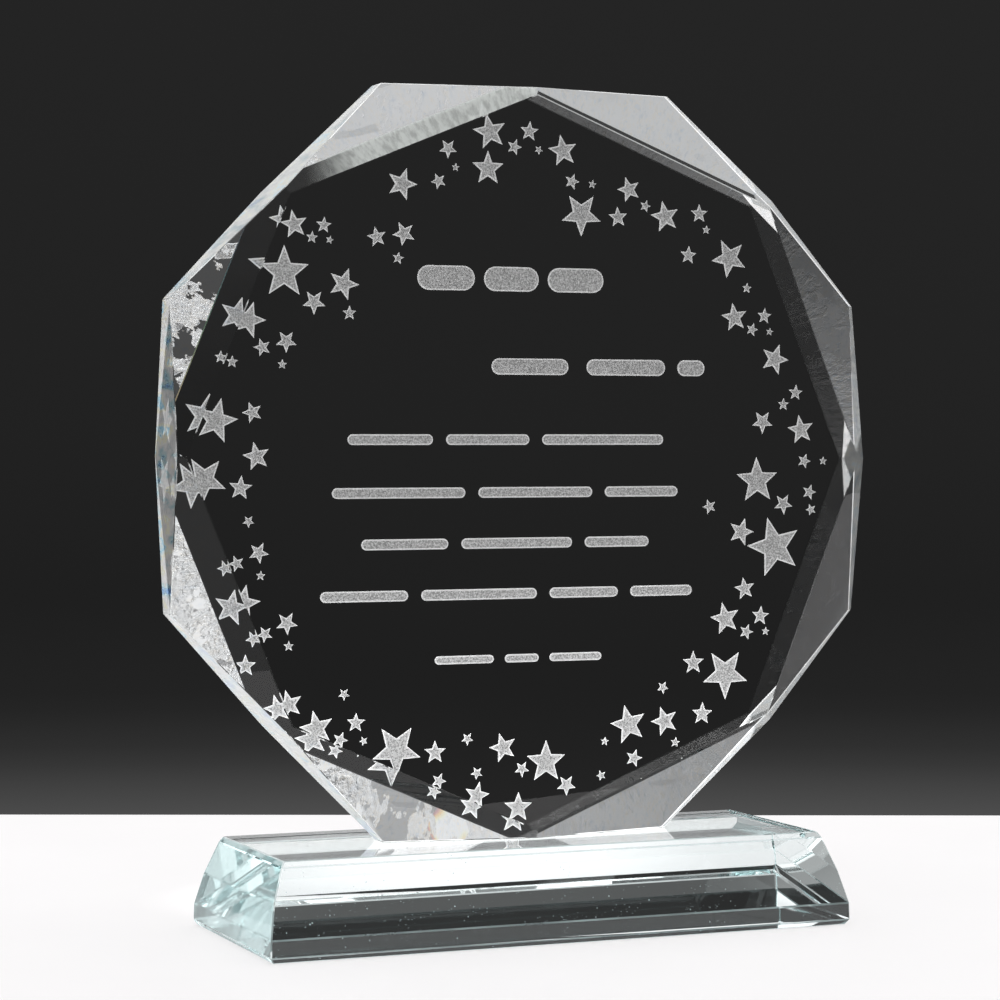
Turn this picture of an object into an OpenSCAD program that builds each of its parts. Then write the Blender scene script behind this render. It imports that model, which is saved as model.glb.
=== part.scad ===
// Octagonal glass award plate with an engraved border of stars, on a bevelled glass base.
// The plate stands on its bottom side and is bonded to the middle of the base.
// +X is to the right, +Y to the back and +Z up. The origin is the middle of the base's underside.

/* [Plate] */
// Width between the left and the right side
plate_w = 181; // [160:0.5:200]
// Height between the bottom and the top side
plate_h = 182.5; // [160:0.5:200]
// Thickness between the two flat faces
plate_t = 20; // [16:0.5:26]
// Thickness left at every corner of the outline
corner_t = 6; // [4:0.5:10]
// How far an upper corner is cut away across
top_cut_x = 52.5; // [44:0.5:58]
// How far the upper left corner is cut away downwards
top_left_z = 52.5; // [44:0.5:58]
// How far the upper right corner is cut away downwards
top_right_z = 51.5; // [44:0.5:58]
// How far a lower corner is cut away across
low_cut_x = 53; // [44:0.5:58]
// How far the lower left corner is cut away upwards
low_left_z = 56; // [44:0.5:60]
// How far the lower right corner is cut away upwards
low_right_z = 53.5; // [44:0.5:60]
// Distance from the middle of a side to the front flat face's nearest corner
front_inset = 1.9; // [1:0.1:4]
// Distance from the middle of a side to the back flat face's nearest corner
back_inset = 0.7; // [0.5:0.1:4]

/* [Engraving] */
// Depth of the frosted marks in the back face
engrave_d = 0.3; // [0.1:0.05:0.8]
// Inner radius of a star as a share of its outer radius
star_waist = 0.43; // [0.36:0.01:0.6]
// Clear margin between the marks and the edge of the flat face
mark_margin = 0.5; // [0.2:0.1:3]

/* [Base] */
// Greatest width of the base
base_w = 150; // [130:0.5:170]
// Greatest depth of the base
base_d = 61.5; // [50:0.5:80]
// Height of the base
base_h = 22.5; // [18:0.5:30]
// How far the end faces lean in from the widest level to the top bevel
end_lean = 4.6; // [2:0.1:8]
// How far the end faces bulge halfway up
end_swell = 0.6; // [0:0.1:1.2]
// How far the front and back faces lean in from the widest level to the top bevel
long_lean = 6.2; // [3:0.1:10]
// Height of the steep band round the foot of the base
foot_h = 5.4; // [3:0.1:7]
// Height of the widest level, where the bottom bevel ends
bottom_bevel_h = 1.3; // [0.8:0.1:2.5]
// Height of the bevel round the top face
top_bevel_h = 1.4; // [0.8:0.1:2.5]

/* [Bond] */
// Thickness of the clear adhesive film between the plate and the base
bond_t = 0.2; // [0.1:0.05:0.4]

/* [Hidden] */
$fn = 32;

plate_foot_z = base_h + bond_t;

// The outline's corners as [x, height above the plate's foot], clockwise from the top left
half_w = plate_w / 2;
outline = [
    [top_cut_x - half_w, plate_h], [half_w - top_cut_x, plate_h],
    [half_w, plate_h - top_right_z], [half_w, low_right_z],
    [half_w - low_cut_x, 0], [low_cut_x - half_w, 0],
    [-half_w, low_left_z], [-half_w, plate_h - top_left_z]
];

// The middle of side i, which runs from corner i to the next one
function side_middle(i) = (outline[i % 8] + outline[(i + 1) % 8]) / 2;
function side_direction(i) =
    let (run = outline[(i + 1) % 8] - outline[i % 8]) run / norm(run);

// Corner i of the flat face on the front (face = -1) or the back (face = 1), inside the middle of side i
function flat_corner(i, face) =
    let (along = side_direction(i), inset = face < 0 ? front_inset : back_inset)
    side_middle(i) + inset * [along.y, -along.x];

// The point of the plate's depth y over the outline point p
function at_depth(p, y) = [p.x, y, p.y];

// Depth left in front (face = -1) or behind (face = 1) at the middle of the plate's bottom side
function middle_depth(face) =
    let (
        foot = at_depth(outline[4], face * corner_t / 2),
        right = at_depth(flat_corner(3, face), face * plate_t / 2),
        left = at_depth(flat_corner(4, face), face * plate_t / 2),
        n = cross(right - foot, left - foot),
        middle = side_middle(4)
    )
    foot.y - (n.x * (middle.x - foot.x) + n.z * (middle.y - foot.z)) / n.y;

// Star border: [x, height over mark_zero, outer radius, clockwise tilt], for a plate marks_w wide
marks_w = 181;
mark_zero = 92.5;
mark_scale = plate_w / marks_w;

stars_top_left = [
    [-60.5, 44.5, 6.5, 0], [-45.5, 42, 4, 20], [-53, 37.5, 3, 36], [-44, 35, 1.8, 0],
    [-58, 56, 3.5, -10], [-50.5, 56, 2, 5], [-53.5, 53, 1.5, 5], [-49, 52.5, 1, 15],
    [-37, 53.5, 2.5, -12], [-30, 54.5, 3, -26], [-31.5, 48.5, 1.5, 10], [-30.5, 66.5, 4, 18],
    [-21, 67.5, 2, -26], [-18.5, 75.5, 2.4, 36], [-16.5, 71, 1, 5], [-7.5, 80, 4.5, -12],
    [-8, 71, 4.3, 0], [3, 80.5, 2.5, 5], [-1, 76.5, 2, 18], [5.5, 76, 1.1, 30],
    [-69.5, 33, 4.5, 18], [-60, 28, 2.7, 36], [-66, 26.5, 2.2, -18], [-73.5, 23, 1.5, 3],
    [-61, 22.5, 1.2, 3], [-77.5, 9, 5.5, 14], [-68.5, 11, 2.6, -20]
];
stars_top_right = [
    [12, 76, 4, -10], [14.5, 68.5, 2, 18], [20, 68, 1.1, 10], [17, 60.5, 5.5, 36],
    [27, 60, 2.6, -4], [30, 67, 3.2, -18], [34.5, 63, 1.5, 18], [40, 60.5, 4, -12],
    [49.5, 61.5, 2.4, 0], [51.5, 57.5, 1.1, 5], [46.5, 51, 2.3, 5], [58, 50.5, 5, -27],
    [63, 43, 1.3, 5], [59.5, 35.5, 3.7, -9], [68, 36, 2, 5], [64.5, 32.5, 1.7, 18],
    [69.5, 32, 1, 10], [71, 25, 4, 20], [77, 16.5, 2, 5], [73.5, 13.5, 1.6, 3],
    [67.5, 9, 3, 36], [78.5, 7, 3.8, -9]
];
stars_low_left = [
    [-67.5, 0.5, 3.5, -12], [-71.5, -7, 3, 6], [-80.5, -5, 5.8, -32], [-69.5, -15, 1.5, 36],
    [-67, -22.5, 2.6, 27], [-72.5, -25, 2, -20], [-66.5, -28, 1.2, 5], [-71, -34.5, 4.5, 12],
    [-60, -39.5, 2.8, 31], [-65.5, -42, 2, -29], [-59.5, -45, 1.3, 0], [-67.5, -48.5, 2.7, 0],
    [-59.5, -59, 3.6, -14], [-52.5, -65, 4.4, -12], [-45.5, -57, 1.5, 36], [-42.5, -64, 2.4, 3],
    [-46.5, -68, 2, 23], [-40.5, -68.5, 1.1, -22], [-32, -71, 6.5, 36], [-22, -72, 2.9, 0],
    [-13.5, -69, 1.6, 35], [-4, -71.5, 3.7, -16], [-11, -77.5, 1.6, -28], [-11, -83, 3.4, 13],
    [-21, -79, 2, 24]
];
stars_low_right = [
    [7.5, -75.5, 5.4, 0], [1, -77, 2, 33], [0, -86.5, 3.8, 2], [13, -81.5, 2.6, 35],
    [22.5, -79.5, 1.3, -20], [31.5, -75.5, 2.3, 18], [23.5, -71, 1.1, 8], [30, -67, 5, -13],
    [40, -66.5, 3.8, -18], [50.5, -65, 2.9, 3], [43, -72, 1.3, 10], [39.5, -58, 1.6, 30],
    [48, -52, 3, 0], [57, -55, 6.5, 36], [57, -41, 4.2, -12], [67, -40.5, 2.5, 6],
    [63, -44.5, 2, 20], [68.5, -44.5, 1.1, 5], [62.5, -33.5, 2.9, -9], [61.5, -19, 3.6, 18],
    [71, -23, 7.8, -15], [66, -6, 6, -2], [73.5, -12, 2.7, 31], [52.5, -12.5, 1.9, -20],
    [79.5, -1, 1.9, 20], [85, -1, 1.1, 5], [81, -9, 2, 18], [81.5, -13.5, 1.5, -20]
];

// Plain bars in the middle: [height over mark_zero, bar height, [left end, right end], ...]
bar_rows = [
    [44, 6, [-26.5, -11.5], [-9, 5.5], [8, 23]],
    [22.5, 4, [-7, 13.5], [18.5, 40], [43.5, 51]],
    [4.5, 2.6, [-44.5, -22.5], [-19, 3], [6.5, 39.5]],
    [-8.5, 2.6, [-48.5, -14], [-10.5, 20], [23.5, 43.5]],
    [-21, 2.6, [-41, -18.5], [-15, 14.5], [18, 35.5]],
    [-33.5, 2.6, [-51.5, -29], [-25.5, 5], [8.5, 27], [30.5, 47.5]],
    [-49.5, 2, [-22, -6.5], [-3.5, 5.5], [8.5, 22.5]]
];

module star(place) {
    translate([place.x, place.y])
        polygon([for (k = [0 : 9])
            let (r = place[2] * (k % 2 == 0 ? 1 : star_waist), turn = place[3] + 36 * k)
            r * [sin(turn), cos(turn)]]);
}

module bar(left, right, tall) {
    r = tall / 2;
    translate([left + r, -r]) square([right - left - tall, tall]);
    for (x = [left + r, right - r]) translate([x, 0]) circle(r);
}

module marks() {
    for (group = [stars_top_left, stars_top_right, stars_low_left, stars_low_right])
        for (place = group) star(place);
    for (row = bar_rows)
        for (k = [2 : len(row) - 1])
            translate([0, row[0]]) bar(row[k][0], row[k][1], row[1]);
}

// The marks that fit on the flat face, sunk into the back of the plate
module engraving() {
    clear = 1;
    flat_centre = [0, plate_h / 2];
    keep = 1 - mark_margin / (half_w - back_inset);
    translate([0, plate_t / 2 + clear, 0])
        rotate([90, 0, 0])
            linear_extrude(engrave_d + clear)
                intersection() {
                    polygon([for (i = [0 : 7])
                        flat_centre + keep * (flat_corner(i, 1) - flat_centre)]);
                    translate([0, mark_zero * mark_scale]) scale(mark_scale) marks();
                }
}

// Everything beyond the facet at corner i, on the front (face = -1) or the back (face = 1)
module beyond_facet(i, face) {
    size = 3 * plate_w;
    corner = at_depth(outline[i], face * corner_t / 2);
    before = at_depth(flat_corner((i + 7) % 8, face), face * plate_t / 2);
    after = at_depth(flat_corner(i, face), face * plate_t / 2);
    across = face * cross(after - corner, before - corner);
    n = across / norm(across);
    translate(corner)
        rotate([0, acos(n.z), atan2(n.y, n.x)])
            translate([-size / 2, -size / 2, 0]) cube(size);
}

module plate() {
    color("lightcyan")
    translate([0, 0, plate_foot_z])
        difference() {
            rotate([90, 0, 0]) linear_extrude(plate_t, center = true) polygon(outline);
            for (i = [0 : 7])
                for (face = [-1, 1]) beyond_facet(i, face);
            engraving();
        }
}

// The film covers the whole of the plate's bottom side
module adhesive_bond() {
    foot = half_w - low_cut_x;
    edge = corner_t / 2;
    color("lemonchiffon")
    translate([0, 0, base_h])
        linear_extrude(bond_t)
            polygon([[-foot, -edge], [0, middle_depth(-1)], [foot, -edge],
                     [foot, edge], [0, middle_depth(1)], [-foot, edge]]);
}

// The base's side view: greatest half width w, leaning in by lean up to the top bevel
// and bulging out by swell halfway up
module base_side(w, lean, swell) {
    bevel_in = 0.9;
    foot_in = 0.1;
    bulge = [w - (foot_in + lean) / 2 + swell, (foot_h + base_h - top_bevel_h) / 2];
    right = concat(
        [[w - bevel_in, 0], [w, bottom_bevel_h], [w - foot_in, foot_h]],
        swell > 0 ? [bulge] : [],
        [[w - lean, base_h - top_bevel_h], [w - lean - bevel_in, base_h]]
    );
    polygon(concat(right, [for (k = [len(right) - 1 : -1 : 0]) [-right[k].x, right[k].y]]));
}

module base_block() {
    color("paleturquoise")
    intersection() {
        rotate([90, 0, 0])
            linear_extrude(2 * base_d, center = true) base_side(base_w / 2, end_lean, end_swell);
        rotate([90, 0, 90])
            linear_extrude(2 * base_w, center = true) base_side(base_d / 2, long_lean, 0);
    }
}

plate();
adhesive_bond();
base_block();
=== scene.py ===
import math

import bmesh
import bpy
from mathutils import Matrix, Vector, geometry


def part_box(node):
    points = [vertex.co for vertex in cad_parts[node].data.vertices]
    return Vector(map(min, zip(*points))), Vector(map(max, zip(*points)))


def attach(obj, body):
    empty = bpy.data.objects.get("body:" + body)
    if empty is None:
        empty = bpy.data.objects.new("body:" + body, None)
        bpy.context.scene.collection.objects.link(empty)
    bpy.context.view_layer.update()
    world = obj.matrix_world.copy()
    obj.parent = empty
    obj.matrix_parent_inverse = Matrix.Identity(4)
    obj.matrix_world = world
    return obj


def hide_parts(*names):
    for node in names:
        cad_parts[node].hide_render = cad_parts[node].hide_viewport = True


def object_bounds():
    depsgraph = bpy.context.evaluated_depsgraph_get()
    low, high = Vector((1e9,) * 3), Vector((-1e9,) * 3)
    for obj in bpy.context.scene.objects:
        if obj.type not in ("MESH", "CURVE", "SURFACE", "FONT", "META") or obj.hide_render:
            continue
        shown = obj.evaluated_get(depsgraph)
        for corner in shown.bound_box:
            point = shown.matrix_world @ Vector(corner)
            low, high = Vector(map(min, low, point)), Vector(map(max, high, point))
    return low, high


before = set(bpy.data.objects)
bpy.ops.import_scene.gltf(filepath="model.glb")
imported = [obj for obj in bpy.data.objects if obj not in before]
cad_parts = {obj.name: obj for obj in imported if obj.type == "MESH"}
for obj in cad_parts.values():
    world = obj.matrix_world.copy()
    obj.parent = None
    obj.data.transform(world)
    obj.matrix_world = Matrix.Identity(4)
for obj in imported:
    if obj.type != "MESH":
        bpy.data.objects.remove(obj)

cad_low, cad_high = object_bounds()

MM = 0.001
scene = bpy.context.scene

plate_low, plate_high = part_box("plate")
_, base_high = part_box("base_block")
bond_low, bond_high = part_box("adhesive_bond")
middle = (cad_low + cad_high) / 2
plate_centre_z = (plate_low.z + plate_high.z) / 2
plate_radius = (plate_high.x - plate_low.x) / 2

# Camera, as seen from the object's middle, in metres
CAMERA_DISTANCE = 0.7382
CAMERA_AZIMUTH = math.radians(22.83)     # to the left of the front
CAMERA_HEIGHT = 0.01747                  # above the middle
CAMERA_CLIP = 0.05
CAMERA_LENS = 108.0                      # mm
AIM_OFFSET = Vector((-0.0050, 0.002, 0.00224))

# Shapes, in mm
EDGE_POLISH = 0.30                       # width of the polished bevel along every edge
BASE_EDGE_POLISH = 0.45
ENGRAVE_RIM = 0.34                       # width of the line round each mark, whose colour is painted brighter
SMALL_MARK_RIM = 0.085                   # the same for small marks, as a share of their size
BOND_GAP = 0.03                          # air between the adhesive film and the glass faces
TINY = 0.002                             # two points closer than this are one
SAME_DEPTH = 0.01                        # two mark floors closer than this are level
LEAST_DEPTH = 0.05                       # a face less deep than this is not a mark's floor

# Limits for sorting and cleaning faces
FLAT_LEAN = 0.999                        # the normal of a flat points at least this far along Y
SIDE_LEAN = 0.05                         # and that of a side less than this
FACING_LEFT = -0.1                       # X of a normal, below which one of the plate's sides faces left
LEFT_END = -0.8                          # X of a normal, below which a face is the base's left end
ONE_PLANE = math.radians(0.6)            # faces that meet at less than this are one face
LEAST_CORNER = 0.005                     # sine of the least turn that counts as a corner
SHARPEST_MITRE = 0.2                     # keeps the inset of a needle-sharp corner short
CUT_TOLERANCE = 1e-5                     # points closer than this to a cut lie on it, mm
OUTLINE_TOLERANCE = 1e-6                 # points of the outlines closer than this are one, mm

GLASS_IOR = 1.52

# Haze of the ground glass. A face attribute holds it, as the share of light that the face scatters.
HAZE = "haze"
FACET_HAZE = 0.9                         # of the one front facet that was left hazy, next to its flat
LEFT_SIDE_HAZE, RIGHT_SIDE_HAZE = 1.0, 0.3
EDGE_HAZE, BACK_EDGE_HAZE = 0.4, 0.08    # of the base's edges
END_HAZE = 0.42                          # of the base's left end
HAZY_DEPTH = 0.0022                      # depth below the flat at which the hazy band ends, metres
HAZY_BORDER = 0.0003                     # width of the hazy band's soft border, metres
DUST_HEIGHT, DUST_TOP = 0.0105, 0.0115   # the dust on the base thins out between these heights, metres

# Painted rainbow: colours of light split by the glass, laid in as tints of the glass, as the stops of a ramp
# over the noise that lays out its marks
FACET_PAINTED_RAINBOW = [
    (0.30, (0.72, 0.80, 0.90, 1)), (0.42, (0.955, 0.98, 1.0, 1)),
    (0.55, (0.965, 0.985, 1.0, 1)), (0.60, (1.0, 0.955, 0.87, 1)),
    (0.66, (0.80, 0.89, 1.0, 1)), (0.8, (0.95, 0.98, 1.0, 1)),
]
SIDE_PAINTED_RAINBOW = [
    (0.32, (0.18, 0.45, 1.0, 1)), (0.40, (0.62, 0.93, 1.0, 1)),
    (0.47, (1.0, 1.0, 1.0, 1)), (0.54, (1.0, 1.0, 1.0, 1)),
    (0.58, (1.0, 0.95, 0.68, 1)), (0.61, (0.9, 1.0, 0.98, 1)),
    (0.66, (0.35, 0.75, 1.0, 1)), (0.74, (0.90, 1.0, 1.0, 1)),
]
TABLE_TINTS = [(0.3, (0.265, 0.260, 0.262, 1)), (0.7, (0.280, 0.275, 0.277, 1))]


# ---------------------------------------------------------------- node helpers

def new_material(name):
    material = bpy.data.materials.new(name)
    material.use_nodes = True
    tree = material.node_tree
    tree.nodes.clear()
    return material, tree


def add(tree, kind, inputs=None, **settings):
    node = tree.nodes.new(kind)
    for key, value in settings.items():
        setattr(node, key, value)
    for key, value in (inputs or {}).items():
        node.inputs[key].default_value = value
    return node


def link(tree, source, output, target, socket):
    tree.links.new(source.outputs[output], target.inputs[socket])


def ramp(tree, source, output, stops):
    """A colour ramp with stops of a position and a colour each."""
    node = add(tree, "ShaderNodeValToRGB")
    elements = node.color_ramp.elements
    while len(elements) > 1:
        elements.remove(elements[-1])
    elements[0].position, elements[0].color = stops[0]
    for position, colour in stops[1:]:
        elements.new(position).color = colour
    link(tree, source, output, node, "Fac")
    return node


def grey(value):
    return (value, value, value, 1)


def calculate(tree, operation, *values):
    """A maths node whose inputs are numbers or (node, output) pairs."""
    node = add(tree, "ShaderNodeMath", operation=operation)
    for index, value in enumerate(values):
        if isinstance(value, tuple):
            link(tree, value[0], value[1], node, index)
        else:
            node.inputs[index].default_value = value
    return node


def between(tree, source, output, start, end):
    """A soft step from 0 at start to 1 at end."""
    node = add(tree, "ShaderNodeMapRange", {"From Min": start, "From Max": end},
               interpolation_type="SMOOTHSTEP")
    link(tree, source, output, node, "Value")
    return node


def spread(tree, share, low, high):
    """The value low where the share is 0 and high where it is 1."""
    return calculate(tree, "MULTIPLY_ADD", share, high - low, low)


def object_place(tree):
    """The object's own coordinates, in metres, as one vector and as separate values."""
    coords = add(tree, "ShaderNodeTexCoord")
    place = add(tree, "ShaderNodeSeparateXYZ")
    link(tree, coords, "Object", place, "Vector")
    return coords, place


def noise(tree, coords, scale, detail=2.0, rough=0.5, stretch=None):
    """Noise over the object's own coordinates, in metres; stretch scales its x, y and z."""
    if not stretch:
        return noise_along(tree, coords, "Object", scale, detail, rough)
    mapping = add(tree, "ShaderNodeMapping", {"Scale": stretch})
    link(tree, coords, "Object", mapping, "Vector")
    return noise_along(tree, mapping, "Vector", scale, detail, rough)


def noise_along(tree, source, output, scale, detail, rough):
    """Noise over the vector that a node gives."""
    node = add(tree, "ShaderNodeTexNoise", {"Scale": scale, "Detail": detail, "Roughness": rough})
    link(tree, source, output, node, "Vector")
    return node


def bump(tree, height, output, strength, distance, target):
    node = add(tree, "ShaderNodeBump", {"Strength": strength, "Distance": distance})
    link(tree, height, output, node, "Height")
    link(tree, node, "Normal", target, "Normal")


def radial(tree, place, reach):
    """Coordinates round the plate's middle: distance round, depth, and outward distance times reach."""
    up = calculate(tree, "SUBTRACT", (place, "Z"), plate_centre_z)
    turn = calculate(tree, "ARCTAN2", (place, "X"), (up, "Value"))
    around = calculate(tree, "MULTIPLY", (turn, "Value"), plate_radius)
    flat = add(tree, "ShaderNodeCombineXYZ")
    link(tree, place, "X", flat, "X")
    link(tree, up, "Value", flat, "Z")
    outward = add(tree, "ShaderNodeVectorMath", operation="LENGTH")
    link(tree, flat, "Vector", outward, 0)
    stretched = calculate(tree, "MULTIPLY", (outward, "Value"), reach)
    joined = add(tree, "ShaderNodeCombineXYZ")
    link(tree, around, "Value", joined, "X")
    link(tree, place, "Y", joined, "Y")
    link(tree, stretched, "Value", joined, "Z")
    return joined


# ------------------------------------------------------------------- materials

def glass(name, colour, roughness=0.0, density=None, absorb=None):
    """Clear glass. Returns its material, tree and Principled shader."""
    material, tree = new_material(name)
    out = add(tree, "ShaderNodeOutputMaterial")
    shader = add(tree, "ShaderNodeBsdfPrincipled", {
        "Base Color": colour, "Roughness": roughness, "IOR": GLASS_IOR, "Transmission Weight": 1.0,
    })
    link(tree, shader, "BSDF", out, "Surface")
    if density:
        volume = add(tree, "ShaderNodeVolumeAbsorption", {"Color": absorb, "Density": density})
        link(tree, volume, "Volume", out, "Volume")
    return material, tree, shader


def mix_in_haze(tree, shader, share, output, painted_rainbow=None, haze_colour=(1, 1, 1, 1)):
    """Gives the surface a share of ground haze, which scatters light back and through."""
    out = next(node for node in tree.nodes if node.type == "OUTPUT_MATERIAL")
    reflected = add(tree, "ShaderNodeBsdfDiffuse", {"Color": haze_colour})
    passed = add(tree, "ShaderNodeBsdfTranslucent", {"Color": haze_colour})
    # The haze can take the painted rainbow colours as its own
    if painted_rainbow:
        link(tree, painted_rainbow, "Color", reflected, "Color")
        link(tree, painted_rainbow, "Color", passed, "Color")
    haze = add(tree, "ShaderNodeMixShader", {"Fac": 0.5})
    link(tree, reflected, "BSDF", haze, 1)
    link(tree, passed, "BSDF", haze, 2)
    both = add(tree, "ShaderNodeMixShader")
    link(tree, share, output, both, "Fac")
    link(tree, shader, "BSDF", both, 1)
    link(tree, haze, "Shader", both, 2)
    link(tree, both, "Shader", out, "Surface")


def flat_glass():
    """The polished flats, with hardly visible wipe marks."""
    material, tree, shader = glass("flat_glass", (0.985, 0.99, 0.99, 1))
    coords = add(tree, "ShaderNodeTexCoord")
    wipes = noise(tree, coords, scale=30, detail=4, stretch=(1, 1, 3))
    sheen = between(tree, wipes, "Fac", 0.5, 0.8)
    faint = spread(tree, (sheen, "Result"), 0, 0.012)
    link(tree, faint, "Value", shader, "Roughness")
    return material


def feather_cover(tree, coords, place, around):
    """How strong the feathers are: ragged patches on the back facets, strongest at the left."""
    # Long strokes shift the noise that lays out the patches, and make their borders ragged
    patches = noise(tree, coords, scale=40, detail=3, rough=0.55)
    strokes = noise_along(tree, around, "Vector", scale=260, detail=4, rough=0.6)
    ragged = calculate(tree, "MULTIPLY_ADD", (strokes, "Fac"), 0.9, -0.43)
    likely = calculate(tree, "ADD", (ragged, "Value"), (patches, "Fac"))
    patchy = between(tree, likely, "Value", 0.46, 0.53)

    # The feathers are weak on the right and grow to full strength in the left half
    leftmost = between(tree, place, "X", 0.35 * plate_low.x, 0.65 * plate_low.x)
    strength = spread(tree, (leftmost, "Result"), 0.15, 1.0)
    on_back = calculate(tree, "GREATER_THAN", (place, "Y"), 0.0)
    ground = calculate(tree, "MULTIPLY", (strength, "Value"), (on_back, "Value"))
    return calculate(tree, "MULTIPLY", (patchy, "Result"), (ground, "Value"))


def hazy_band(tree, place, streaks):
    """How hazy a facet is next to its flat; the haze fades out towards the left."""
    haze = add(tree, "ShaderNodeAttribute", attribute_name=HAZE)
    depth = calculate(tree, "ABSOLUTE", (place, "Y"))
    band_start = plate_high.y - HAZY_DEPTH
    near_flat = between(tree, depth, "Value", band_start, band_start + HAZY_BORDER)
    brushed = between(tree, streaks, "Fac", 0.35, 0.6)
    cloud = spread(tree, (brushed, "Result"), 0.65, 1.0)
    fading = between(tree, place, "X", 0.66 * plate_low.x, 0.48 * plate_low.x)
    clouded = calculate(tree, "MULTIPLY", (cloud, "Value"), (fading, "Result"))
    band = calculate(tree, "MULTIPLY", (near_flat, "Result"), (clouded, "Value"))
    return calculate(tree, "MULTIPLY", (haze, "Fac"), (band, "Value"))


def facet_glass():
    """Hand-ground facets: mostly clear, with feathery polishing marks drawn out across the edges."""
    material, tree, shader = glass("facet_glass", (1, 1, 1, 1))
    coords, place = object_place(tree)
    around = radial(tree, place, reach=0.15)
    streaks = noise_along(tree, around, "Vector", scale=620, detail=5, rough=0.62)
    feathered = feather_cover(tree, coords, place, around)

    # The facets swell a little, and the feathers stand up and down from them
    swell = noise(tree, coords, scale=45, detail=1)
    centred = calculate(tree, "SUBTRACT", (streaks, "Fac"), 0.5)
    fine = calculate(tree, "MULTIPLY", (centred, "Value"), (feathered, "Value"))
    height = calculate(tree, "MULTIPLY_ADD", (swell, "Fac"), 0.3, (fine, "Value"))
    bump(tree, height, "Value", strength=1.0, distance=0.0007, target=shader)

    strands = between(tree, streaks, "Fac", 0.45, 0.7)
    rubbed = calculate(tree, "MULTIPLY", (strands, "Result"), (feathered, "Value"))
    roughness = spread(tree, (rubbed, "Value"), 0, 0.16)
    link(tree, roughness, "Value", shader, "Roughness")
    # Painted rainbow: colours of light split by the glass, laid in as a tint along the streaks
    painted_rainbow = ramp(tree, streaks, "Fac", FACET_PAINTED_RAINBOW)
    link(tree, painted_rainbow, "Color", shader, "Base Color")

    share = hazy_band(tree, place, streaks)
    mix_in_haze(tree, shader, share, "Value", haze_colour=(0.96, 1.0, 0.97, 1))
    return material


def side_glass():
    """The ground and polished sides, which gleam white, with painted rainbow bands of light split by the
    glass, richest at the upright left.
    """
    material, tree, shader = glass("side_glass", (0.97, 0.99, 0.99, 1), roughness=0.06)
    _, place = object_place(tree)
    around = radial(tree, place, reach=1.0)
    across = add(tree, "ShaderNodeMapping", {"Scale": (1.0, 0.35, 1.0)})
    link(tree, around, "Vector", across, "Vector")
    bands = noise_along(tree, across, "Vector", scale=190, detail=4, rough=0.55)
    bump(tree, bands, "Fac", strength=0.15, distance=0.0003, target=shader)
    # Painted rainbow: colours of split light, laid in as tints in bands, richest at the upright left; the
    # haze takes them too
    painted_rainbow = ramp(tree, bands, "Fac", SIDE_PAINTED_RAINBOW)
    upright = between(tree, place, "X", 0.93 * plate_low.x, 0.985 * plate_low.x)
    painted_rainbow_share = spread(tree, (upright, "Result"), 0.3, 0.95)
    painted_rainbow_mix = add(tree, "ShaderNodeMixRGB", {"Color1": (0.97, 1.0, 1.0, 1)})
    link(tree, painted_rainbow_share, "Value", painted_rainbow_mix, "Fac")
    link(tree, painted_rainbow, "Color", painted_rainbow_mix, "Color2")
    link(tree, painted_rainbow_mix, "Color", shader, "Base Color")

    share = between(tree, bands, "Fac", 0.3, 0.7)
    gleam = spread(tree, (share, "Result"), 0.5, 0.9)
    clear = spread(tree, (upright, "Result"), 1.0, 0.5)
    gleaming = calculate(tree, "MULTIPLY", (gleam, "Value"), (clear, "Value"))
    haze = add(tree, "ShaderNodeAttribute", attribute_name=HAZE)
    amount = calculate(tree, "MULTIPLY", (gleaming, "Value"), (haze, "Fac"))
    mix_in_haze(tree, shader, amount, "Value", painted_rainbow_mix)
    return material


def edge_glass():
    material, _, _ = glass("edge_glass", (0.97, 1.0, 0.99, 1), roughness=0.12)
    return material


def base_glass():
    """Pale aqua glass; the colour comes from the length of glass that light crosses."""
    material, tree, shader = glass("base_glass", (1, 1, 1, 1), density=1.25,
                                   absorb=(0.15, 0.93, 0.95, 1))
    coords, place = object_place(tree)
    waves = noise(tree, coords, scale=60, detail=2)
    ground = add(tree, "ShaderNodeAttribute", attribute_name=HAZE)
    height = calculate(tree, "MULTIPLY", (waves, "Fac"), (ground, "Fac"))
    bump(tree, height, "Value", strength=0.04, distance=0.001, target=shader)

    # Light scatters at the left end, along the edges and in the dust low on the base
    uneven = between(tree, waves, "Fac", 0.3, 0.7)
    mist = spread(tree, (uneven, "Result"), 0.65, 1.35)
    misted = calculate(tree, "MULTIPLY", (ground, "Fac"), (mist, "Value"))
    low_down = between(tree, place, "Z", DUST_TOP, DUST_HEIGHT)
    cells = add(tree, "ShaderNodeTexVoronoi", {"Scale": 650})
    link(tree, coords, "Object", cells, "Vector")
    specks = between(tree, cells, "Distance", 0.16, 0.10)
    crowd = noise(tree, coords, scale=70, detail=3)
    crowded = between(tree, crowd, "Fac", 0.50, 0.62)
    grouped = calculate(tree, "MULTIPLY", (specks, "Result"), (crowded, "Result"))
    settled = calculate(tree, "MULTIPLY", (grouped, "Value"), (low_down, "Result"))
    dust = spread(tree, (settled, "Value"), 0, 0.6)
    amount = calculate(tree, "MAXIMUM", (misted, "Value"), (dust, "Value"))
    mix_in_haze(tree, shader, amount, "Value", haze_colour=(0.82, 0.99, 1.0, 1))
    return material


def bond_resin():
    material, _, _ = glass("bond_resin", (0.98, 0.985, 0.97, 1), roughness=0.02)
    return material


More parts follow.
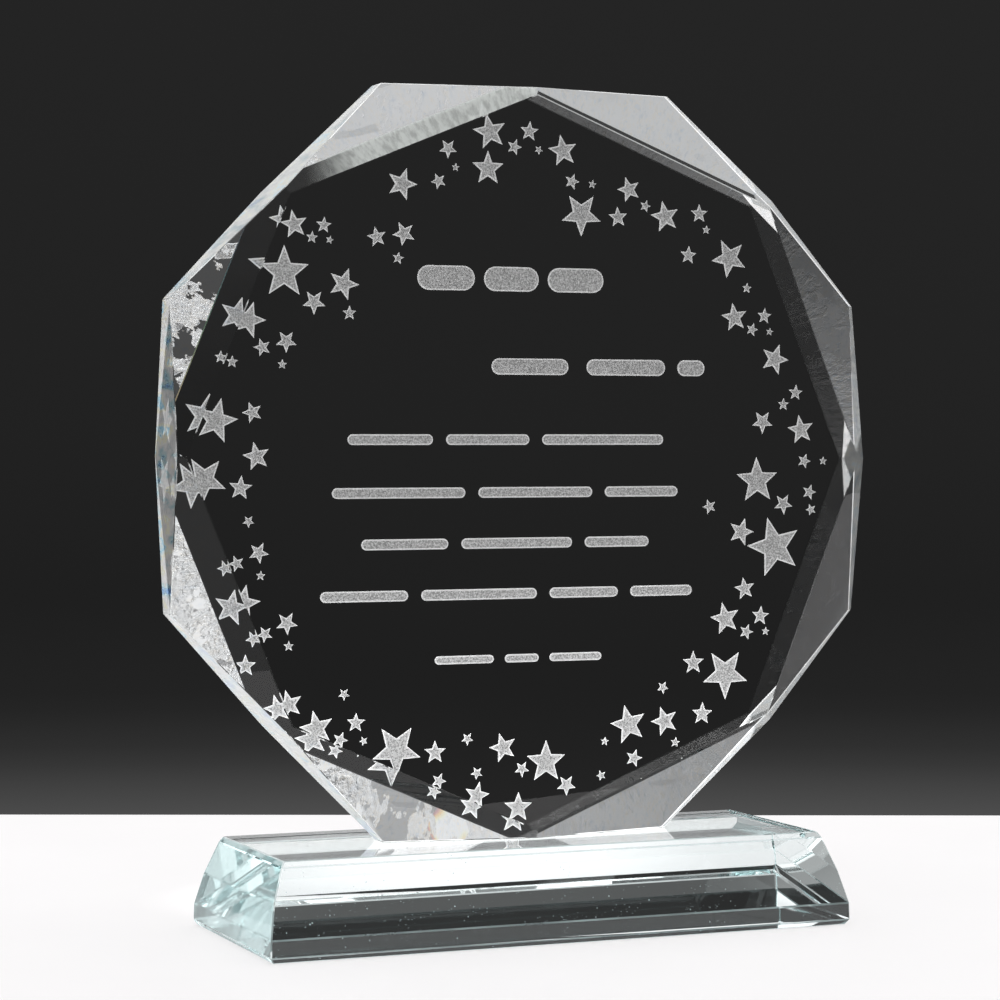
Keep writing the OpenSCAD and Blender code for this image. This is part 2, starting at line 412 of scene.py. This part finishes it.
def frosted(name, low, high):
    """Sandblasted glass: white, grainy and lit from both sides, with painted light from the table: its
    colour is scaled up towards the bottom.
    """
    # Painted light from the table: the colour is scaled by these, at the bottom and from the middle up
    painted_light_at_bottom, painted_light_at_middle = 1.7, 1.02
    material, tree = new_material(name)
    out = add(tree, "ShaderNodeOutputMaterial")
    coords, place = object_place(tree)
    pits = noise(tree, coords, scale=2500, detail=4, rough=0.8)
    grains = ramp(tree, pits, "Fac", [(0.40, grey(low)), (0.60, grey(high))])
    # The painted light from the table, by height
    painted_table_light = add(tree, "ShaderNodeMapRange", {
        "From Min": plate_low.z, "From Max": middle.z, "To Min": painted_light_at_bottom, "To Max": painted_light_at_middle})
    link(tree, place, "Z", painted_table_light, "Value")
    tone = add(tree, "ShaderNodeVectorMath", operation="SCALE")
    link(tree, grains, "Color", tone, 0)
    link(tree, painted_table_light, "Result", tone, "Scale")
    front = add(tree, "ShaderNodeBsdfDiffuse", {"Roughness": 0.5})
    through = add(tree, "ShaderNodeBsdfTranslucent")
    both = add(tree, "ShaderNodeMixShader", {"Fac": 0.5})
    for shader in (front, through):
        link(tree, tone, "Vector", shader, "Color")
        bump(tree, pits, "Fac", strength=0.6, distance=0.0002, target=shader)
    link(tree, front, "BSDF", both, 1)
    link(tree, through, "BSDF", both, 2)
    link(tree, both, "Shader", out, "Surface")
    return material


def table_surface():
    """A matt top that glows white, most behind the base, so that shadows on it stay faint."""
    material, tree = new_material("table_surface")
    out = add(tree, "ShaderNodeOutputMaterial")
    coords = add(tree, "ShaderNodeTexCoord")
    mottle = noise(tree, coords, scale=14, detail=4)
    tone = ramp(tree, mottle, "Fac", TABLE_TINTS)
    shader = add(tree, "ShaderNodeBsdfPrincipled", {
        "Roughness": 0.6, "Emission Color": (1.0, 0.985, 0.992, 1)})
    where = add(tree, "ShaderNodeNewGeometry")
    glow_middle = (0, 2 * base_high.y, 0)
    glow_reach = (base_high.x, 1.6 * base_high.y, 1)
    from_middle = add(tree, "ShaderNodeVectorMath", {1: glow_middle}, operation="SUBTRACT")
    link(tree, where, "Position", from_middle, 0)
    in_reaches = add(tree, "ShaderNodeVectorMath", {1: glow_reach}, operation="DIVIDE")
    link(tree, from_middle, "Vector", in_reaches, 0)
    away = add(tree, "ShaderNodeVectorMath", operation="LENGTH")
    link(tree, in_reaches, "Vector", away, 0)
    glow = between(tree, away, "Value", 1.1, 0.5)
    strength = spread(tree, (glow, "Result"), 0.61, 0.86)
    link(tree, strength, "Value", shader, "Emission Strength")
    link(tree, tone, "Color", shader, "Base Color")
    link(tree, shader, "BSDF", out, "Surface")
    return material


# -------------------------------------------------------------- polished solids

def mesh_of(node):
    """A CAD node's mesh as a bmesh, in mm, with doubled points joined."""
    bm = bmesh.new()
    bm.from_mesh(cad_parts[node].data)
    bmesh.ops.scale(bm, vec=Vector((1, 1, 1)) / MM, verts=bm.verts)
    bmesh.ops.remove_doubles(bm, verts=bm.verts, dist=TINY)
    return bm


def hull_of(node):
    """The convex outer shape of a CAD node, in mm, with one face for each of its planes."""
    bm = mesh_of(node)
    result = bmesh.ops.convex_hull(bm, input=bm.verts)
    spare = {v for v in result["geom_interior"] if isinstance(v, bmesh.types.BMVert)}
    kept = {f for f in result["geom"] if isinstance(f, bmesh.types.BMFace)}
    bmesh.ops.delete(bm, geom=[f for f in bm.faces if f not in kept], context="FACES")
    loose = [v for v in bm.verts if v in spare or not v.link_faces]
    bmesh.ops.delete(bm, geom=loose, context="VERTS")
    bmesh.ops.dissolve_limit(bm, angle_limit=ONE_PLANE, verts=bm.verts, edges=bm.edges)
    bmesh.ops.recalc_face_normals(bm, faces=bm.faces)
    return bm


def cut_edge(bm, point, normal, slot):
    """Slices off what lies beyond a plane and closes the slice with a face of that slot."""
    whole = list(bm.verts) + list(bm.edges) + list(bm.faces)
    bmesh.ops.bisect_plane(bm, geom=whole, dist=CUT_TOLERANCE, plane_co=point, plane_no=normal,
                           clear_outer=True)
    rim = [e for e in bm.edges if e.is_boundary]
    if not rim:
        return
    made = bmesh.ops.edgeloop_fill(bm, edges=rim)["faces"]
    for face in made:
        face.material_index = slot
        face.normal_update()
        if face.normal.dot(normal) < 0:
            face.normal_flip()


def polish_edges(bm, width, slot):
    """Grinds a flat bevel of that width along every edge of a convex solid."""
    planes = []
    for edge in bm.edges:
        first, second = (f.normal for f in edge.link_faces)
        turn = first.angle(second)
        outward = (first + second).normalized()
        depth = width * math.tan(turn / 2) / 2
        planes.append((edge.verts[0].co - outward * depth, outward))
    for point, outward in planes:
        cut_edge(bm, point, outward, slot)


def as_piece(bm, name, materials):
    """Turns a solid in mm into a piece on the root body."""
    bmesh.ops.scale(bm, vec=Vector((1, 1, 1)) * MM, verts=bm.verts)
    mesh = bpy.data.meshes.new(name)
    bm.to_mesh(mesh)
    bm.free()
    for material in materials:
        mesh.materials.append(material)
    piece = bpy.data.objects.new(name, mesh)
    scene.collection.objects.link(piece)
    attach(piece, "root")
    return piece


# -------------------------------------------------------------------- the plate

FLAT, FACET, SIDE, EDGE, RIM, FLOOR = range(6)


def loops_round(bm, faces):
    """The outlines of the patches that these faces form, as loops of (x, z)."""
    inside = set(faces)
    follow = {}
    for edge in bm.edges:
        bordering = [f for f in edge.link_faces if f in inside]
        if len(bordering) == 1:
            corner = next(c for c in bordering[0].loops if c.edge == edge)
            follow[corner.vert] = corner.link_loop_next.vert
    loops = []
    while follow:
        start, at = next(iter(follow.items()))
        loop = [start]
        del follow[start]
        while at != start:
            loop.append(at)
            at = follow.pop(at)
        loops.append([(v.co.x, v.co.z) for v in loop])
    return loops


def mark_outlines():
    """The outline of each engraved mark, as loops of (x, z) in mm, and the depth y of their floors."""
    bm = mesh_of("plate")
    back = plate_high.y / MM
    level = [(f, f.calc_center_median().y) for f in bm.faces if f.normal.y > FLAT_LEAN]
    floor_y = max(y for _, y in level if y < back - LEAST_DEPTH)
    loops = loops_round(bm, [f for f, y in level if abs(y - floor_y) < SAME_DEPTH])
    bm.free()
    return loops, floor_y


def area(loop):
    return 0.5 * sum(a[0] * b[1] - b[0] * a[1] for a, b in zip(loop, loop[1:] + loop[:1]))


def corners_of(loop):
    """Each point of a loop as a vector, between the point before it and the point after it."""
    points = [Vector(point) for point in loop]
    return zip(points[-1:] + points[:-1], points, points[1:] + points[:1])


def without_spare_points(loop):
    """The loop with near-collinear and doubled points left out."""
    kept = []
    for point, (before, at, after) in zip(loop, corners_of(loop)):
        run_in, run_out = at - before, after - at
        if run_in.length < 10 * TINY:
            continue
        turn = abs(run_in.normalized().cross(run_out.normalized()))
        if turn > LEAST_CORNER or run_in.dot(run_out) < 0:
            kept.append(point)
    return kept


def inset(loop, width):
    """The loop moved inwards by a width, with sharp corners kept."""
    turn = 1 if area(loop) > 0 else -1
    moved = []
    for before, at, after in corners_of(loop):
        run_in, run_out = (at - before).normalized(), (after - at).normalized()
        side_in = turn * Vector((-run_in.y, run_in.x))
        side_out = turn * Vector((-run_out.y, run_out.x))
        middle_way = (side_in + side_out).normalized()
        reach = width / max(SHARPEST_MITRE, middle_way.dot(side_in))
        moved.append(tuple(at + middle_way * reach))
    return moved


def perforate(bm, face, loops):
    """Replaces a face square to Y by one with these holes. Returns the verts round each hole."""
    edge_verts = list(face.verts)
    face_y = edge_verts[0].co.y
    points = [(v.co.x, v.co.z) for v in edge_verts]
    bmesh.ops.delete(bm, geom=[face], context="FACES_ONLY")
    shapes = [list(range(len(points)))]
    for loop in loops:
        shapes.append(list(range(len(points), len(points) + len(loop))))
        points.extend(loop)
    coords, _, faces, origin, _, origin_faces = geometry.delaunay_2d_cdt(
        [Vector(p) for p in points], [], shapes, 1, OUTLINE_TOLERANCE)
    made = []
    where = {}
    for place, sources in zip(coords, origin):
        source = sources[0] if sources else -1
        on_edge = 0 <= source < len(edge_verts)
        vert = edge_verts[source] if on_edge else bm.verts.new((place.x, face_y, place.y))
        made.append(vert)
        where.update((source, vert) for source in sources)
    for corners, sources in zip(faces, origin_faces):
        if all(s == 0 for s in sources):
            part = bm.faces.new([made[c] for c in corners])
            part.normal_update()
            if part.normal.y < 0:
                part.normal_flip()
            part.material_index = FLAT
    return [[where[k] for k in shape] for shape in shapes[1:]]


def engrave(bm):
    """Cuts the marks into the back flat: side walls, a rim with a painted highlight, and a grainy floor
    each.
    """
    back = max(bm.faces, key=lambda f: f.normal.y * f.calc_area())
    loops, floor_y = mark_outlines()
    loops = [without_spare_points(loop) for loop in loops]
    for hole, loop in zip(perforate(bm, back, loops), loops):
        narrow = min(ENGRAVE_RIM, SMALL_MARK_RIM * math.sqrt(abs(area(loop))))
        rings = [hole]
        for ring in (loop, inset(loop, narrow)):
            rings.append([bm.verts.new((x, floor_y, z)) for x, z in ring])
        n = len(loop)
        order = 1 if area(loop) < 0 else -1
        for ring, deeper in zip(rings, rings[1:]):
            for k in range(n):
                quad = [ring[k], ring[(k + 1) % n], deeper[(k + 1) % n], deeper[k]]
                face = bm.faces.new(quad[::order])
                face.material_index = RIM
        floor = bm.faces.new(rings[-1][::order])
        floor.material_index = FLOOR
        floor.normal_update()


def build_plate():
    bm = hull_of("plate")
    haze = bm.faces.layers.float.new(HAZE)
    for face in bm.faces:
        lean = abs(face.normal.y)
        if lean > FLAT_LEAN:
            face.material_index = FLAT
        elif lean < SIDE_LEAN:
            face.material_index = SIDE
            face[haze] = LEFT_SIDE_HAZE if face.normal.x < FACING_LEFT else RIGHT_SIDE_HAZE
        else:
            face.material_index = FACET
            is_upper_left = 0 > face.normal.x > -face.normal.z
            if is_upper_left and face.normal.y < 0:
                face[haze] = FACET_HAZE
    polish_edges(bm, EDGE_POLISH, EDGE)
    engrave(bm)
    bm.normal_update()
    piece = as_piece(bm, "engraved_plate", [
        flat_glass(), facet_glass(), side_glass(), edge_glass(),
        # The rim is white frosted glass whose colour runs up to 1.15, above white: a painted highlight
        frosted("frosted_rim_painted_highlight", 0.95, 1.15), frosted("frosted_floor", 0.33, 0.90),
    ])
    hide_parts("plate")


def build_base():
    """The base, in one material, whose bevels and left end differ only in their haze."""
    body, bevel = 0, 1
    bm = hull_of("base_block")
    polish_edges(bm, BASE_EDGE_POLISH, bevel)
    haze = bm.faces.layers.float.new(HAZE)
    for face in bm.faces:
        if face.material_index == bevel:
            face[haze] = EDGE_HAZE if face.calc_center_median().y < 0 else BACK_EDGE_HAZE
        elif face.normal.x < LEFT_END:
            face[haze] = END_HAZE
        face.material_index = body
    piece = as_piece(bm, "polished_base", [base_glass()])
    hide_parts("base_block")


def build_bond():
    """The film, drawn clear of both glass faces by a hair so that no two surfaces coincide."""
    bm = hull_of("adhesive_bond")
    low, high = bond_low.z / MM + BOND_GAP, bond_high.z / MM - BOND_GAP
    for vert in bm.verts:
        vert.co.z = min(max(vert.co.z, low), high)
        vert.co.x -= math.copysign(min(abs(vert.co.x), EDGE_POLISH), vert.co.x)
        vert.co.y -= math.copysign(min(abs(vert.co.y), EDGE_POLISH), vert.co.y)
    piece = as_piece(bm, "bond_film", [bond_resin()])
    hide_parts("adhesive_bond")


# ---------------------------------------------------------------------- studio

def build_table():
    """A white table top whose far edge lies square to the view, close behind the object."""
    behind, ahead, half_width, thick, rounding = 0.218, 0.20, 0.60, 0.018, 0.002
    air_under_glass = 0.0001
    bm = bmesh.new()
    bmesh.ops.create_cube(bm, size=1)
    bmesh.ops.scale(bm, vec=(2 * half_width, behind + ahead, thick), verts=bm.verts)
    bmesh.ops.translate(bm, vec=(0, (behind - ahead) / 2, -thick / 2), verts=bm.verts)
    bmesh.ops.bevel(bm, geom=bm.edges[:], offset=rounding, segments=3, affect="EDGES")
    mesh = bpy.data.meshes.new("table_top")
    bm.to_mesh(mesh)
    bm.free()
    mesh.materials.append(table_surface())
    table = bpy.data.objects.new("table_top", mesh)
    table.rotation_euler.z = -CAMERA_AZIMUTH
    table.location.z = cad_low.z - air_under_glass
    scene.collection.objects.link(table)


# Brightness of the room by height above the horizon, in degrees: a pale floor far below the table,
# a dark wall at eye level and a soft lit ceiling
ROOM_TONES = [
    (-30, 0.49), (-14, 0.47), (-10, 0.13), (-7.2, 0.075), (-6.5, 0.05), (-6, 0.03), (-5, 0.0165),
    (-3, 0.0135), (0, 0.0155), (5, 0.017), (9, 0.018), (13, 0.022), (18, 0.06), (24, 0.42),
    (39, 0.62), (52, 1.6), (64, 2.8), (90, 3.3),
]
ROOM_LEVEL, MORE_AT_RIGHT, MORE_AT_BACK = 0.85, 0.22, 0.10

# Patches of the room. Each has a near and a far side, as turns from the back towards the right, and a low
# and a high side, as rises, all in degrees. Each side says where the patch starts to show and where it is
# full. Then come the near side's slant and the brightness.
LIT_PATCHES = [
    ((-75, -45), (80, 65), (16.5, 19), (30, 24), 0.0, 0.34),
    ((-130, -115), (-60, -74), (4, 14), (62, 50), 0.0, 1.3),
    ((33, 34), (36.9, 36.2), (16, 19), (34, 30), 0.0, 0.80),
]
# The same for patches with coloured borders; the last number is how far red and blue part, in degrees
FRINGED_PATCHES = [
    ((51, 58), (106, 98), (-12, -9), (50, 42), 0.15, 0.86, 0.5),
    ((40, 47), (60, 55), (-24, -17), (-4, -7), 0.6, 0.62, 1.1),
    ((38.0, 38.6), (62, 56), (16, 19), (42, 36), 0.0, 0.78, 0.12),
]
# The same for dim patches, with the share of light that they keep
DIM_PATCHES = [
    ((56, 60), (112, 104), (-40, -34), (-9, -12), 0.0, 0.13),
    ((46, 50), (60, 56), (-40, -34), (-19, -22), 0.0, 0.35),
    ((10, 20), (32, 28), (11, 14), (28, 24), 0.0, 0.30),
    ((120, 140), (200, 190), (5, 12), (60, 48), 0.0, 0.45),
]


def soft_patch(tree, turn, rise, shift, near, far, low, high, slant, value):
    """A soft-edged patch of the room, moved by shift degrees, whose near side leans by slant."""
    lean = calculate(tree, "MULTIPLY_ADD", (rise, "Value"), -slant, (turn, "Value"))
    product = None
    for node, (start, end) in ((lean, near), (turn, far), (rise, low), (rise, high)):
        step = between(tree, node, "Value", math.radians(start + shift), math.radians(end + shift))
        so_far = (product, "Value") if product else value
        product = calculate(tree, "MULTIPLY", (step, "Result"), so_far)
    return product


def brightest(tree, light, turn, rise, shift, patches):
    """The light of the room, or that of the patches where they are brighter."""
    for patch in patches:
        lit = soft_patch(tree, turn, rise, shift, *patch)
        light = calculate(tree, "MAXIMUM", (light, "Value"), (lit, "Value"))
    return light


def kept_share(tree, turn, rise):
    """The share of light that the dim patches leave in each direction."""
    kept = None
    for *sides, share in DIM_PATCHES:
        lost = soft_patch(tree, turn, rise, 0, *sides, share - 1)
        left = calculate(tree, "ADD", (lost, "Value"), 1)
        kept = calculate(tree, "MULTIPLY", (left, "Value"), (kept, "Value")) if kept else left
    return kept


def room_by_height(tree, direction):
    """The room's tones from the floor up, brighter towards the right and the back."""
    lowest = math.sin(math.radians(ROOM_TONES[0][0]))
    height = add(tree, "ShaderNodeMapRange", {"From Min": lowest, "From Max": 1.0})
    link(tree, direction, "Z", height, "Value")
    tone = ramp(tree, height, "Result", [
        ((math.sin(math.radians(angle)) - lowest) / (1 - lowest), grey(value))
        for angle, value in ROOM_TONES])
    rightwards = calculate(tree, "MULTIPLY_ADD", (direction, "X"), MORE_AT_RIGHT, ROOM_LEVEL)
    sided = calculate(tree, "MULTIPLY_ADD", (direction, "Y"), MORE_AT_BACK, (rightwards, "Value"))
    return calculate(tree, "MULTIPLY", (tone, "Color"), (sided, "Value"))


def build_studio():
    """The room round the table: tones by height, with soft-edged lit and dim patches."""
    world = bpy.data.worlds.new("dark_studio")
    scene.world = world
    world.use_nodes = True
    tree = world.node_tree
    tree.nodes.clear()
    out = add(tree, "ShaderNodeOutputWorld")
    back = add(tree, "ShaderNodeBackground")
    coords = add(tree, "ShaderNodeTexCoord")
    direction = add(tree, "ShaderNodeSeparateXYZ")
    link(tree, coords, "Generated", direction, "Vector")
    turn = calculate(tree, "ARCTAN2", (direction, "X"), (direction, "Y"))
    rise = calculate(tree, "ARCSINE", (direction, "Z"))
    kept = kept_share(tree, turn, rise)
    room = brightest(tree, room_by_height(tree, direction), turn, rise, 0, LIT_PATCHES)
    colour = add(tree, "ShaderNodeCombineXYZ")
    for channel, way in (("X", -1), ("Y", 0), ("Z", 1)):
        total = room
        for *patch, fringe in FRINGED_PATCHES:
            total = brightest(tree, total, turn, rise, way * fringe, [patch])
        total = calculate(tree, "MULTIPLY", (total, "Value"), (kept, "Value"))
        link(tree, total, "Value", colour, channel)
    link(tree, colour, "Vector", back, "Color")
    link(tree, back, "Background", out, "Surface")


def build_camera():
    data = bpy.data.cameras.new("camera")
    data.lens = CAMERA_LENS
    data.clip_start = CAMERA_CLIP
    camera = bpy.data.objects.new("camera", data)
    away = Vector((-math.sin(CAMERA_AZIMUTH), -math.cos(CAMERA_AZIMUTH), 0)) * CAMERA_DISTANCE
    camera.location = middle + away + Vector((0, 0, CAMERA_HEIGHT))
    aim = middle + AIM_OFFSET
    camera.rotation_euler = (aim - camera.location).to_track_quat("-Z", "Y").to_euler()
    scene.collection.objects.link(camera)
    scene.camera = camera


def set_light_paths():
    """Enough bounces for light to leave thick glass, and colours shown as they are."""
    cycles = scene.cycles
    cycles.max_bounces = 24
    cycles.transmission_bounces = 24
    cycles.glossy_bounces = 16
    cycles.diffuse_bounces = 4
    cycles.transparent_max_bounces = 16
    scene.view_settings.view_transform = "Standard"


build_plate()
build_bond()
build_base()
build_table()
build_studio()
build_camera()
set_light_paths()
